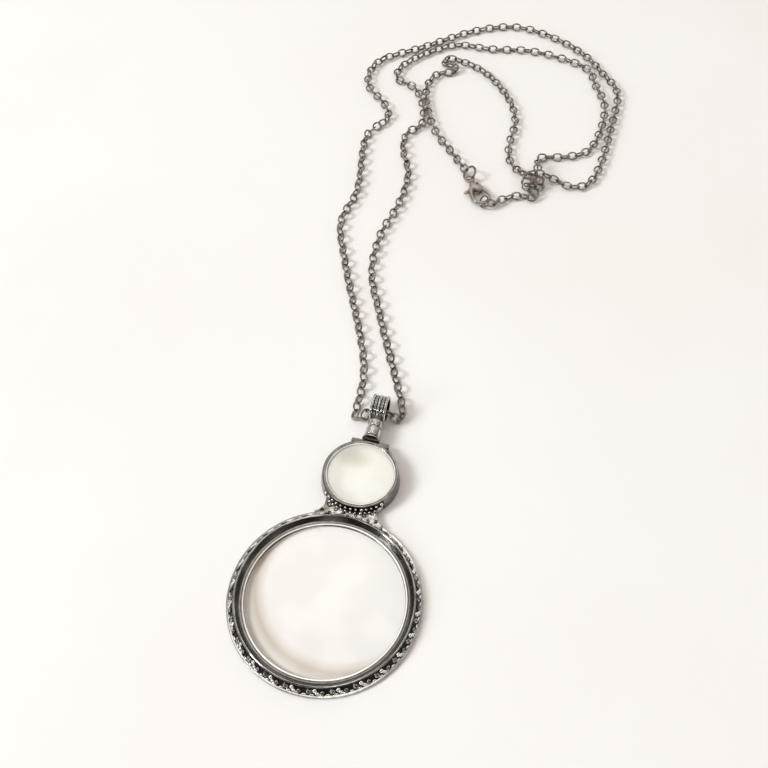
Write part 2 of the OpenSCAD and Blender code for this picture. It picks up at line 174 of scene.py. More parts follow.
def plated_metal(name, light, dark, stain, gloss, grain=0.0):
    """A plated metal: base colours, how much of it is stained, its roughness, and its grain."""
    material, nodes, links, shader = new_material(name)
    coords = nodes.new("ShaderNodeTexCoord").outputs["Object"]
    wear = nodes.new("ShaderNodeGroup")
    wear.node_tree = wear_group
    links.new(coords, wear.inputs["Vector"])
    wear.inputs["Light"].default_value = light
    wear.inputs["Dark"].default_value = dark
    wear.inputs["Stain"].default_value = stain
    wear.inputs["Gloss"].default_value = gloss
    links.new(wear.outputs["Color"], shader.inputs["Base Color"])
    links.new(wear.outputs["Roughness"], shader.inputs["Roughness"])
    shader.inputs["Metallic"].default_value = 1.0
    if grain:
        speckle = add_noise(nodes, links, coords, GRAIN_SCALE, 3.0)
        add_bump(nodes, links, speckle, grain, GRAIN_DEPTH, shader)
    return material


frame_metal = plated_metal("frame_metal", METAL_LIGHT, METAL_DARK, 0.55, 0.07, 0.5)
wall_metal = plated_metal("wall_metal", (0.24, 0.235, 0.23, 1), METAL_DARK, 0.7, 0.08, 0.5)
# Near black: antique black in the grooves, and painted dark reflection on the ground under the
# relief.
antique_black_and_painted_reflection = plated_metal(
    "antique_black_and_painted_reflection", (0.02, 0.02, 0.021, 1), (0.008, 0.008, 0.009, 1), 0.6, 0.14, 0.2)
inner_metal = plated_metal(
    "inner_metal", (0.27, 0.26, 0.25, 1), (0.12, 0.115, 0.11, 1), 0.5, 0.2, 0.15)
relief_metal = plated_metal("relief_metal", (0.95, 0.95, 0.95, 1), (0.2, 0.2, 0.21, 1), 0.15, 0.05)

# The large ring: cast in one with the neck and the small ring. Outside is a thin lip, then
# a steep ornamented slope up to a round crest, then a plain slope and a step down to the lens.
PENDANT_AT = Vector((-5.0, -97.25, 0.0)) * MM
RING_R = 22.5 * MM
LIP_T = 0.8 * MM
BAND_LOW_R = 21.85 * MM
CREST_R = 20.75 * MM
CREST_W = 0.4 * MM
RING_H = 2.6 * MM
STEP_R = 19.5 * MM
STEP_H = 1.3 * MM
SEAT_R = 19.05 * MM
LEDGE_W = 0.65 * MM
RECESS = 0.35 * MM


def rounded(points, radius, steps=4):
    """A closed outline with each corner rounded, by at most a third of its shorter side."""
    out = []
    count = len(points)
    for i, corner in enumerate(points):
        corner = Vector(corner)
        back = Vector(points[i - 1]) - corner
        ahead = Vector(points[(i + 1) % count]) - corner
        reach = min(radius, back.length / 3, ahead.length / 3)
        start = corner + back.normalized() * reach
        end = corner + ahead.normalized() * reach
        for k in range(steps + 1):
            t = k / steps
            out.append((1 - t) ** 2 * start + 2 * t * (1 - t) * corner + t * t * end)
    return out


def lathe(outline, turns, place=Matrix.Identity(4), closed=True):
    """Spins an outline of (radius, height) pairs about Z and returns the bmesh, faces outwards."""
    bm = bmesh.new()
    verts = [bm.verts.new((p[0], 0, p[1])) for p in outline]
    edges = [bm.edges.new((a, b)) for a, b in zip(verts, verts[1:])]
    if closed:
        edges.append(bm.edges.new((verts[-1], verts[0])))
    bmesh.ops.spin(bm, geom=verts + edges, axis=(0, 0, 1), cent=(0, 0, 0), angle=2 * math.pi,
                   steps=turns, use_merge=True)
    bmesh.ops.remove_doubles(bm, verts=bm.verts, dist=1e-7)
    bmesh.ops.recalc_face_normals(bm, faces=bm.faces)
    bmesh.ops.transform(bm, matrix=place, verts=bm.verts)
    return bm


ring_outline = rounded([
    (SEAT_R - LEDGE_W, 0), (RING_R, 0), (RING_R, LIP_T), (BAND_LOW_R, LIP_T),
    (CREST_R, RING_H - CREST_W / 4), (CREST_R - CREST_W / 2, RING_H + CREST_W / 8),
    (CREST_R - CREST_W, RING_H - CREST_W / 4), (STEP_R, STEP_H), (SEAT_R, STEP_H),
    (SEAT_R, RECESS), (SEAT_R - LEDGE_W, RECESS)], 0.16 * MM)


def paint_faces(piece, material, centre, chosen):
    """Gives a material to the faces that chosen(radius, height, azimuth in degrees) picks."""
    piece.data.materials.append(material)
    index = len(piece.data.materials) - 1
    for face in piece.data.polygons:
        at = face.center - centre
        if chosen(math.hypot(at.x, at.y), at.z, math.degrees(math.atan2(at.y, at.x))):
            face.material_index = index


ring_bm = lathe(ring_outline, 160, Matrix.Translation(PENDANT_AT))
large_ring = finish_piece("large_ring", ring_bm, frame_metal, 50)
# Painted dark reflection, partly the dark plating: the outer slope between lip and crest is near
# black all round.
paint_faces(large_ring, antique_black_and_painted_reflection, PENDANT_AT,
            lambda r, z, a: CREST_R + 0.06 * MM < r < RING_R - 0.42 * MM and z > LIP_T - 0.1 * MM)
paint_faces(large_ring, inner_metal, PENDANT_AT,
            lambda r, z, a: r < CREST_R - CREST_W and z > RECESS)
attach(large_ring, ROOT)
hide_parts("lens_frame")

# The small ring stands higher than the large one. Its wall leans in to a narrow rim, and a
# step inside it holds the small lens.
LENS_PITCH = 32.2 * MM
BEZEL_R = 9.75 * MM
RIM_R = 9.3 * MM
BEZEL_H = 3.7 * MM
BEZEL_FOOT = 0.6 * MM
SMALL_SEAT_R = 8.65 * MM
bezel_at = PENDANT_AT + Vector((0, LENS_PITCH, 0))
bezel_outline = rounded([
    (SMALL_SEAT_R - LEDGE_W, 0), (BEZEL_R, 0), (BEZEL_R, BEZEL_FOOT), (RIM_R, BEZEL_H),
    (SMALL_SEAT_R, BEZEL_H), (SMALL_SEAT_R, RECESS), (SMALL_SEAT_R - LEDGE_W, RECESS)], 0.14 * MM)
bezel_bm = lathe(bezel_outline, 112, Matrix.Translation(bezel_at))
small_ring = finish_piece("small_ring", bezel_bm, frame_metal, 50)
BEADED_SPAN = 46
paint_faces(small_ring, wall_metal, bezel_at, lambda r, z, a: r > SMALL_SEAT_R + 0.1 * MM)
# Painted dark reflection, partly the dark plating: the beaded near side of the wall is near black.
paint_faces(small_ring, antique_black_and_painted_reflection, bezel_at,
            lambda r, z, a: abs(a + 90) < BEADED_SPAN + 5 and r > RIM_R and z < BEZEL_H - 0.3 * MM)
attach(small_ring, ROOT)

# The neck: a web cast between the two rings, with concave sides, and a bar behind the small
# ring that carries the post. Both have softened edges.
NECK_FILLET = 3.1 * MM
NECK_T = 1.7 * MM
NECK_EDGE = 0.18 * MM
BAR_L = 9.6 * MM
BAR_T = 1.1 * MM
BAR_LOW = 0.8 * MM
BAR_TOP = 2.6 * MM
BAR_Y = LENS_PITCH + BEZEL_R - 0.75 * MM
BAR_EDGE = 0.14 * MM
neck_a = RING_R + NECK_FILLET
neck_b = BEZEL_R + NECK_FILLET
neck_y = (neck_a ** 2 - neck_b ** 2 + LENS_PITCH ** 2) / (2 * LENS_PITCH)
neck_x = math.sqrt(neck_a ** 2 - neck_y ** 2)


def arc(centre, radius, start, end, steps):
    """Points on an arc, from start to end in radians."""
    return [(centre[0] + radius * math.cos(start + (end - start) * k / steps),
             centre[1] + radius * math.sin(start + (end - start) * k / steps))
            for k in range(steps + 1)]


to_ring = math.atan2(-neck_y, -neck_x)
to_bezel = math.atan2(LENS_PITCH - neck_y, -neck_x)
right_side = arc((neck_x, neck_y), NECK_FILLET, to_ring + 2 * math.pi, to_bezel, 16)
under_bezel = arc((0, LENS_PITCH), BEZEL_R - 0.6 * MM, math.radians(-42), math.radians(-138), 24)
left_side = [(-x, y) for x, y in reversed(right_side)]
under_crest = arc((0, 0), CREST_R + 0.1 * MM, math.radians(112), math.radians(68), 24)
neck_bm = bmesh.new()
neck_face = neck_bm.faces.new([neck_bm.verts.new((x, y, 0)) for x, y in right_side + under_bezel
                               + left_side + under_crest])
grown = bmesh.ops.extrude_face_region(neck_bm, geom=[neck_face])
top_verts = [g for g in grown["geom"] if isinstance(g, bmesh.types.BMVert)]
bmesh.ops.translate(neck_bm, verts=top_verts, vec=(0, 0, NECK_T))
bmesh.ops.recalc_face_normals(neck_bm, faces=neck_bm.faces)
rim = [e for e in neck_bm.edges if all(v.co.z > NECK_T / 2 for v in e.verts)]
bmesh.ops.bevel(neck_bm, geom=rim, offset=NECK_EDGE, offset_type="OFFSET",
                affect="EDGES", segments=3, profile=0.5, material=-1)
bmesh.ops.triangulate(neck_bm, faces=[f for f in neck_bm.faces if len(f.verts) > 4])
bmesh.ops.translate(neck_bm, verts=neck_bm.verts, vec=PENDANT_AT)
web_metal = plated_metal("web_metal", (0.5, 0.495, 0.485, 1), METAL_DARK, 0.9, 0.12, 1.0)
neck = finish_piece("neck", neck_bm, web_metal, 35)
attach(neck, ROOT)

bar_bm = bmesh.new()
bmesh.ops.create_cube(bar_bm, size=1)
bmesh.ops.transform(bar_bm, verts=bar_bm.verts, matrix=Matrix.Translation(
    PENDANT_AT + Vector((0, BAR_Y + BAR_T / 2, (BAR_LOW + BAR_TOP) / 2)))
    @ Matrix.Diagonal((BAR_L, BAR_T, BAR_TOP - BAR_LOW, 1)))
bmesh.ops.bevel(bar_bm, geom=bar_bm.edges[:], offset=BAR_EDGE, offset_type="OFFSET",
                affect="EDGES", segments=3, profile=0.5, material=-1)
bar = finish_piece("bar", bar_bm, inner_metal, 35)
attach(bar, ROOT)

# The relief: scrolls, leaf lobes and beads raised on the slope of the large ring, two rows of
# beads round the near side of the small ring, and dark scrolls on the neck. They were cast
# with the frame, and the tops on the rings were polished.
RELIEF_UNITS = 26
BEAD_R = 0.5 * MM
LOBE_R = 0.62 * MM
WIDE_CURL = (0.6 * MM, 0.3 * MM, math.radians(400))
SMALL_CURL = (0.5 * MM, 0.28 * MM, math.radians(-340))
LOBES_A_UNIT = 3
COLLAR_BEADS = 13
BAND_SLOPE = math.atan2(RING_H - CREST_W / 2 - LIP_T, CREST_R - BAND_LOW_R)


def add_bead(bm, place, radius, stretch=(1, 1, 1)):
    """A low polygon ball, stretched and placed."""
    bmesh.ops.create_uvsphere(bm, u_segments=10, v_segments=6, radius=radius,
                              matrix=place @ Matrix.Diagonal((*stretch, 1)))


def sweep(bm, stations, sides=6):
    """Extrudes a circle through a row of placing matrices and closes its two ends."""
    ring = bmesh.ops.create_circle(bm, cap_ends=True, segments=sides, radius=1, matrix=stations[0])
    edges = [e for e in bm.edges if e.verts[0] in ring["verts"] and e.verts[1] in ring["verts"]]
    for before, after in zip(stations, stations[1:]):
        grown = bmesh.ops.extrude_edge_only(bm, edges=edges)["geom"]
        verts = [g for g in grown if isinstance(g, bmesh.types.BMVert)]
        edges = [g for g in grown if isinstance(g, bmesh.types.BMEdge)
                 and g.verts[0] in verts and g.verts[1] in verts]
        bmesh.ops.transform(bm, verts=verts, matrix=after @ before.inverted())
    bmesh.ops.contextual_create(bm, geom=edges)


def shifted(place, x, y, z, turn=0.0):
    """A placing matrix moved by millimetres along its own axes, then turned about its Z."""
    return place @ Matrix.Translation(Vector((x, y, z)) * MM) @ Matrix.Rotation(turn, 4, "Z")


def add_scroll(bm, place, radius, wire, turn, steps=14):
    """A curl of wire that winds in and tapers as it goes."""
    stations = []
    for k in range(steps + 1):
        share = k / steps
        stations.append(place @ Matrix.Rotation(turn * share, 4, "Z")
                        @ Matrix.Translation((radius * (1 - 0.72 * share), 0, 0))
                        @ Matrix.Rotation(math.pi / 2, 4, "X")
                        @ Matrix.Scale(wire * (1 - 0.45 * share), 4))
    sweep(bm, stations)


def on_band(degrees):
    """Frame on the slope: x down the slope, y along the ring, z out of it."""
    middle_of_slope = ((CREST_R + BAND_LOW_R) / 2, 0, (RING_H - CREST_W / 2 + LIP_T) / 2)
    return (Matrix.Translation(PENDANT_AT) @ Matrix.Rotation(math.radians(degrees), 4, "Z")
            @ Matrix.Translation(middle_of_slope) @ Matrix.Rotation(math.pi - BAND_SLOPE, 4, "Y"))


scroll_bm = bmesh.new()
bead_bm = bmesh.new()
UNIT_TURN = 360 / RELIEF_UNITS
for i in range(RELIEF_UNITS):
    middle = 90 + (i + 0.5) * UNIT_TURN
    place = on_band(middle)
    sway = 0.12 * noise.noise(Vector((i * 1.7, 2.0, 0.5)))
    add_scroll(scroll_bm, shifted(place, 0.1, sway, 0, 3.5), *WIDE_CURL)
    add_bead(bead_bm, shifted(place, -0.25, 1.2, 0.05), BEAD_R, (1.1, 1.1, 0.8))
    add_bead(bead_bm, shifted(place, 0.45, 1.8, 0), BEAD_R * 0.9, (0.9, 1.3, 0.7))
    add_scroll(scroll_bm, shifted(place, 0.05, 3.0, 0, 0.4), *SMALL_CURL)
    for k in range(LOBES_A_UNIT):
        lobe = on_band(middle + UNIT_TURN * (k / LOBES_A_UNIT + 0.12))
        add_bead(bead_bm, shifted(lobe, 1.0, 0, -0.12), LOBE_R, (0.5, 1.1, 0.45))
for i in range(COLLAR_BEADS):
    uneven = 1 + 0.5 * noise.noise(Vector((i * 2.3, 8.0, 0.5)))
    for out, up, spread, share in ((RIM_R + 0.2 * MM, BEZEL_H - 1.0 * MM, 2.0, 0.74),
                                   (BEZEL_R + 0.2 * MM, NECK_T + 0.1 * MM, 1.8, 0.7)):
        along_collar = i / (COLLAR_BEADS - 1) - 0.5
        turn = math.radians(-90 + along_collar * spread * BEADED_SPAN + 3 * (uneven - 1))
        ring_place = Matrix.Translation(bezel_at) @ Matrix.Rotation(turn, 4, "Z")
        add_bead(bead_bm, ring_place @ Matrix.Translation((out, 0, up)), BEAD_R * share * uneven)
scroll_metal = plated_metal("scroll_metal", (0.45, 0.45, 0.45, 1), (0.03, 0.03, 0.03, 1), 0.9, 0.06)
for name, relief_bm, material in (("scrolls", scroll_bm, scroll_metal),
                                  ("beads", bead_bm, relief_metal)):
    bmesh.ops.recalc_face_normals(relief_bm, faces=relief_bm.faces)
    relief = finish_piece(name, relief_bm, material, 180)
    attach(relief, ROOT)

WEB_WIRE = 0.2 * MM
web_bm = bmesh.new()
for side in (-1, 1):
    for x, y, size, start in ((5.3, -0.4, 0.8, 0.3), (3.6, -1.4, 0.6, 2.0), (6.6, -2.3, 0.45, 4.0),
                              (1.6, -1.9, 0.45, 1.0), (4.7, -2.6, 0.4, 5.0)):
        place = (Matrix.Translation(PENDANT_AT + Vector((side * x * MM, neck_y + y * MM, NECK_T)))
                 @ Matrix.Rotation(start, 4, "Z"))
        add_scroll(web_bm, place, size * MM, WEB_WIRE, side * math.radians(420), 12)
web_scrolls = finish_piece("web_scrolls", web_bm, antique_black_and_painted_reflection, 180)
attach(web_scrolls, ROOT)

# The lenses: polished glass, flat below and curved above, the small one thicker and milky.
# A thin ring pressed in above each one keeps it in its seat.
LENS_Z = 0.4 * MM
LENS_IOR = 1.4
LENS_CHAMFER = 0.1 * MM
LARGE_LENS = (38 * MM, 0.5 * MM, 2.2 * MM)
SMALL_LENS = (17.2 * MM, 2.7 * MM, 1.3 * MM)
MILKY = (0.98, 0.97, 0.93, 1)


def lens_outline(diameter, edge, rise, base, steps=32):
    """Outline of a plano-convex lens from its axis out and back, as (radius, height)."""
    radius = diameter / 2
    ball = (radius * radius + rise * rise) / (2 * rise)
    top = base + edge + rise
    bow = math.asin(radius / ball)
    points = [(0, base), (radius - LENS_CHAMFER, base), (radius, base + LENS_CHAMFER),
              (radius, base + edge)]
    for k in range(1, steps + 1):
        angle = bow * (1 - k / steps)
        points.append((ball * math.sin(angle), top - ball + ball * math.cos(angle)))
    return points


def glass(name, tint, roughness, transmission, shadow):
    """Glass with a shadow colour of its own: a little over 1 where a lens gathers light."""
    material, nodes, links, shader = new_material(name)
    shader.inputs["Base Color"].default_value = tint
    shader.inputs["Roughness"].default_value = roughness
    shader.inputs["IOR"].default_value = LENS_IOR
    shader.inputs["Transmission Weight"].default_value = transmission
    clear = nodes.new("ShaderNodeBsdfTransparent")
    clear.inputs["Color"].default_value = shadow
    mix = nodes.new("ShaderNodeMixShader")
    links.new(nodes.new("ShaderNodeLightPath").outputs["Is Shadow Ray"], mix.inputs["Fac"])
    links.new(shader.outputs["BSDF"], mix.inputs[1])
    links.new(clear.outputs["BSDF"], mix.inputs[2])
    links.new(mix.outputs["Shader"], nodes["Material Output"].inputs["Surface"])
    return material


clear_glass = glass("clear_glass", (1, 1, 1, 1), 0.01, 1.0, (1.02, 1.01, 0.995, 1))
milky_glass = glass("milky_glass", MILKY, 0.1, 0.45, (0.9, 0.9, 0.88, 1))


def paint_shade_in_glass(material, centre, reach, stops):
    """Paints shade into a glass's colour by the distance from a centre, from 0 in the ramp at its
    reach to 1.
    """
    nodes, links = material.node_tree.nodes, material.node_tree.links
    place = nodes.new("ShaderNodeMapping")
    place.vector_type = "TEXTURE"
    place.inputs["Location"].default_value = centre
    place.inputs["Scale"].default_value = reach
    links.new(nodes.new("ShaderNodeTexCoord").outputs["Object"], place.inputs["Vector"])
    fade = nodes.new("ShaderNodeTexGradient")
    fade.gradient_type = "SPHERICAL"
    links.new(place.outputs["Vector"], fade.inputs["Vector"])
    tint = add_ramp(nodes, links, fade.outputs["Fac"], stops)
    links.new(tint, nodes["Principled BSDF"].inputs["Base Color"])


# Painted shade: the small lens is darker greenish grey towards its far left, for its wall's shadow.
# Painted shadow: the large one is darker in a crescent at its left and near sides, the ring's
# shadow.
paint_shade_in_glass(milky_glass, bezel_at + Vector((-2.6, 3.6, 3.5)) * MM, (6 * MM, 4 * MM, 6 * MM),
           [(0.1, MILKY), (0.8, (0.70, 0.70, 0.60, 1))])
# Painted shadow: a warm darker crescent round the large lens's left and near edge.
paint_shade_in_glass(clear_glass, PENDANT_AT + Vector((3.0, 3.5, 0)) * MM, (23 * MM, 23 * MM, 23 * MM),
           [(0.06, (0.98, 0.97, 0.95, 1)), (0.14, (0.80, 0.755, 0.69, 1)),
            (0.18, (0.90, 0.875, 0.835, 1)), (0.25, (1, 1, 1, 1))])
for name, node, material, slot, at, sizes in (
        ("large_glass", "large_lens", clear_glass, "clear_glass", PENDANT_AT, LARGE_LENS),
        ("small_glass", "small_lens", milky_glass, "milky_glass", bezel_at, SMALL_LENS)):
    glass_bm = lathe(lens_outline(*sizes, LENS_Z), 128, Matrix.Translation(at), closed=False)
    lens = finish_piece(name, glass_bm, material, 30)
    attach(lens, ROOT)
    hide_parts(node)

bright_metal = plated_metal("bright_metal", (0.66, 0.66, 0.67, 1), METAL_DARK, 0.15, 0.1)
for name, node, at, outer, inner, low, high in (
        ("large_retainer", "large_keeper", PENDANT_AT, 19.0, 18.5, 1.07, 1.37),
        ("small_retainer", "small_keeper", bezel_at, 8.6, 8.2, 3.31, 3.61)):
    outline = rounded([(inner * MM, low * MM), (outer * MM, low * MM), (outer * MM, high * MM),
                       (inner * MM, high * MM)], 0.12 * MM)
    keeper = finish_piece(name, lathe(outline, 128, Matrix.Translation(at)), bright_metal, 60)
    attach(keeper, ROOT)
    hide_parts(node)

# The post: turned from rod, with a domed washer at its foot, two collars and a groove.
FIT_GAP = 0.05 * MM
POST_Y = BAR_Y + BAR_T + FIT_GAP
POST_Z = 2.8 * MM
POST_L = 5.5 * MM
post_outline = rounded([(r * MM, h * MM) for r, h in (
    (0, 0), (2.25, 0), (2.25, 0.3), (1.5, 0.9), (1.85, 0.9), (2.0, 1.1), (2.0, 2.9), (1.8, 3.1),
    (1.4, 3.1), (1.4, 3.6), (1.65, 3.6), (1.85, 3.8), (1.85, 5.3), (1.65, 5.5), (0, 5.5))][1:-1],
    0.12 * MM)
post_outline = [Vector((0, 0))] + post_outline + [Vector((0, POST_L))]
post_place = (Matrix.Translation(PENDANT_AT + Vector((0, POST_Y, POST_Z)))
              @ Matrix.Rotation(-math.pi / 2, 4, "X"))
post_metal = plated_metal("post_metal", (0.62, 0.62, 0.62, 1), METAL_DARK, 0.35, 0.2, 0.15)
post_bm = lathe(post_outline, 64, post_place, closed=False)
turned_post = finish_piece("turned_post", post_bm, post_metal, 50)
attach(turned_post, ROOT)
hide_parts("post")

# The bail: a short barrel across the pendant that the chain runs through. Three broad round
# ribs stand out of it with two fine ones between each pair, and the grooves are black.
BAIL_R = 3.5 * MM
BAIL_BORE = 2.6 * MM
BAIL_W = 4.1 * MM
BAIL_FLOOR = 3.05 * MM
BROAD_RIB = 0.7 * MM
FINE_RIB = 0.26 * MM
FINE_RIB_H = 0.25 * MM
FOOT_R = 1.6 * MM
FOOT_L = 0.25 * MM
BAIL_Y = POST_Y + POST_L + FIT_GAP + FOOT_L + BAIL_R
BORE_EDGE = 0.1 * MM
span = (BAIL_W - BROAD_RIB) / 2


def rib(at, width, top):
    """Outline of one rib with a round top, as (radius, place along the barrel)."""
    half = width / 2
    dome = [(top - half + half * math.sin(k * math.pi / 8), at - half * math.cos(k * math.pi / 8))
            for k in range(9)]
    return [(BAIL_FLOOR, at - half)] + dome + [(BAIL_FLOOR, at + half)]


ribs = []
for at in (-1, 0, 1):
    ribs.append((at * span, BROAD_RIB, BAIL_R))
for side in (-1, 1):
    for k in (1, 2):
        fine_at = side * (BROAD_RIB / 2 + k * (span - BROAD_RIB) / 3)
        ribs.append((fine_at, FINE_RIB, BAIL_FLOOR + FINE_RIB_H))
bail_outline = [(BAIL_BORE, -BAIL_W / 2 + BORE_EDGE)]
for at, width, top in sorted(ribs):
    bail_outline += rib(at, width, top)
bail_outline += [(BAIL_BORE, BAIL_W / 2 - BORE_EDGE)]
bail_at = PENDANT_AT + Vector((0, BAIL_Y, BAIL_R))
bail_place = Matrix.Translation(bail_at) @ Matrix.Rotation(math.pi / 2, 4, "Y")
bail_bm = lathe(bail_outline, 96, bail_place)
rib_metal = plated_metal("rib_metal", (0.7, 0.7, 0.7, 1), METAL_DARK, 0.4, 0.05)
ribbed_bail = finish_piece("ribbed_bail", bail_bm, rib_metal, 50)
ribbed_bail.data.materials.append(antique_black_and_painted_reflection)
for face in ribbed_bail.data.polygons:
    from_axis = face.center - bail_at
    if math.hypot(from_axis.y, from_axis.z) < BAIL_FLOOR + 0.1 * MM:
        face.material_index = 1
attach(ribbed_bail, ROOT)
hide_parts("bail")

foot_bm = bmesh.new()
foot_reach = FOOT_L + BAIL_R - BAIL_BORE - 0.15 * MM
foot_at = PENDANT_AT + Vector((0, BAIL_Y - BAIL_R - FOOT_L + foot_reach / 2, POST_Z))
bmesh.ops.create_cone(foot_bm, cap_ends=True, segments=48, radius1=FOOT_R, radius2=FOOT_R,
                      depth=foot_reach,
                      matrix=Matrix.Translation(foot_at) @ Matrix.Rotation(math.pi / 2, 4, "X"))
bail_foot = finish_piece("bail_foot", foot_bm, inner_metal, 40)
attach(bail_foot, ROOT)

# The chain: cable links of round wire, each an oval of 3.4 by 2.7 mm, soldered shut and
# plated a warm gunmetal. Each link is turned a quarter from the one before and passes through it.
LINK_L = 3.42 * MM
LINK_W = 2.7 * MM
LINK_WIRE = 0.53 * MM
LINK_PITCH = LINK_L - 2 * LINK_WIRE
CHAIN_ROUTE = [
    (2.8, 144.2, 0.4), (-0.6, 148.6, 0), (-9.2, 158.6, 0), (-15.4, 174, 0), (-15.6, 181, 0),
    (-13, 186, 0), (-8.6, 187.2, 0), (-8.6, 190, 0), (-12.8, 190.6, 0), (-12.4, 193.6, 0),
    (-6.5, 193, 0), (1, 189.6, 0), (7, 184, 0), (12.5, 176, 0), (15, 168, 0), (15, 156, 0),
    (16.6, 150, 0), (19.8, 146.2, 0.4), (21.6, 144, 2.4), (22, 140, 2.6), (25.2, 139.8, 2.6),
    (25.2, 148, 2.6), (25.2, 150.8, 1.2), (24.4, 153.6, 0), (34, 156.8, 0), (39.4, 161, 0),
    (41.8, 182, 0), (37, 193, 0), (34.6, 199, 0), (26, 202.6, 0), (14, 204.2, 0), (0, 201.8, 0),
    (-11.5, 201, 0), (-26, 186.4, 0), (-26.4, 179.6, 0), (-19.4, 176.4, 0), (-13.4, 160, 0),
    (-17.2, 155, 0), (-16.8, 148, 0), (-12.8, 138, 0), (-12.4, 126, 0), (-14.8, 111, 0),
    (-13.8, 97, 0), (-8, 83, 0), (4.2, 57, 0), (5.7, 53.2, 0), (5, 50.4, 0), (2.9, 51.4, 1),
    (-2.9, 51.5, 1), (-3.4, 49.2, 0.2), (-5.9, 48.7, 0), (-6.2, 52, 0), (-7.4, 64, 0),
    (-22, 98.5, 0), (-27.4, 113.5, 0), (-26, 126, 0), (-29, 152, 0), (-24.6, 160, 0),
    (-27, 166, 0), (-35, 174.6, 0), (-34.6, 186, 0), (-22, 197, 0), (-4, 211.6, 0),
    (8, 215.8, 0), (22, 212.4, 0), (32.6, 205.8, 0), (39.4, 198, 0), (44.6, 191, 0),
    (45, 176, 0), (41.2, 146.4, 0), (36.2, 143.8, 0), (28.4, 146.8, 0), (23.2, 147, 0),
    (23, 144.4, 0), (27.6, 144.2, 0), (27.8, 141.6, 0), (23.2, 141.6, 0), (23, 139, 0),
    (26.8, 139.1, 0), (26.2, 136.4, 0), (21.4, 136.4, 0), (16.6, 133.2, 0.2), (14.5, 130.2, 0.8)]

# Where the first and the last link hang: inside the wire of the jump ring and of the end ring.
# The two strands from the pendant lie with their links at one lean, and on the far bends the
# lean follows the way that the chain runs. Both sway a little from link to link.
FIRST_JOINT = (4.35, 142.75, 0.25)
LAST_JOINT = (12.94, 130.33, 1.17)
CHAIN_RISE = 1.2
WIRE_REACH = LINK_W / 2 - LINK_WIRE / 2
STRANDS_X = 8 * MM
STRANDS_Y = 155 * MM
STRAND_LEAN = -45
LEAN_SWAY = 24
LEAN_JITTER = 12


def smooth_path(points, steps=12):
    """A centripetal Catmull-Rom curve through the points."""
    ends = [points[0] * 2 - points[1]] + points + [points[-1] * 2 - points[-2]]
    out = []
    for a, b, c, d in zip(ends, ends[1:], ends[2:], ends[3:]):
        t1 = (b - a).length ** 0.5
        t2 = t1 + (c - b).length ** 0.5
        t3 = t2 + (d - c).length ** 0.5
        for k in range(steps):
            t = t1 + (t2 - t1) * k / steps
            ab = a.lerp(b, t / t1)
            bc = b.lerp(c, (t - t1) / (t2 - t1))
            cd = c.lerp(d, (t - t2) / (t3 - t2))
            early = ab.lerp(bc, t / t2)
            late = bc.lerp(cd, (t - t1) / (t3 - t1))
            out.append(early.lerp(late, (t - t1) / (t2 - t1)))
    return out + [points[-1]]


def even_steps(path, count):
    """count + 1 points at equal distances along a path."""
    reach = [0.0]
    for a, b in zip(path, path[1:]):
        reach.append(reach[-1] + (b - a).length)
    out, k = [], 0
    for i in range(count + 1):
        want = reach[-1] * i / count
        while k < len(path) - 2 and reach[k + 1] < want:
            k += 1
        share = (want - reach[k]) / max(reach[k + 1] - reach[k], 1e-12)
        out.append(path[k].lerp(path[k + 1], share))
    return out, reach[-1]


def link_mesh():
    """One oval link of round wire in the XY plane, its length along X."""
    bm = bmesh.new()
    half = LINK_W / 2 - LINK_WIRE / 2
    straight = LINK_L / 2 - LINK_W / 2
    across = Matrix.Translation((straight, -half, 0)) @ Matrix.Rotation(math.pi / 2, 4, "Y")
    bmesh.ops.create_circle(bm, cap_ends=False, segments=6, radius=LINK_WIRE / 2, matrix=across)
    start = bm.edges[:]
    turn = bmesh.ops.spin(bm, geom=bm.verts[:] + bm.edges[:], axis=(0, 0, 1), cent=(straight, 0, 0),
                          angle=math.pi, steps=5)
    end = [g for g in turn["geom_last"] if isinstance(g, bmesh.types.BMEdge)]
    copy = bmesh.ops.duplicate(bm, geom=bm.verts[:] + bm.edges[:] + bm.faces[:])
    turned = [g for g in copy["geom"] if isinstance(g, bmesh.types.BMVert)]
    bmesh.ops.rotate(bm, verts=turned, cent=(0, 0, 0), matrix=Matrix.Rotation(math.pi, 3, "Z"))
    pairs = copy["edge_map"]
    bmesh.ops.bridge_loops(bm, edges=end + [pairs[e] for e in start])
    bmesh.ops.bridge_loops(bm, edges=start + [pairs[e] for e in end])
    bmesh.ops.recalc_face_normals(bm, faces=bm.faces)
    mesh = bpy.data.meshes.new("one_link")
    bm.to_mesh(mesh)
    bm.free()
    return mesh


def on_route(point):
    """A point of the route at the height of the chain's axis, in metres in the part's frame."""
    return Vector((point[0], point[1], point[2] + CHAIN_RISE)) * MM + PENDANT_AT


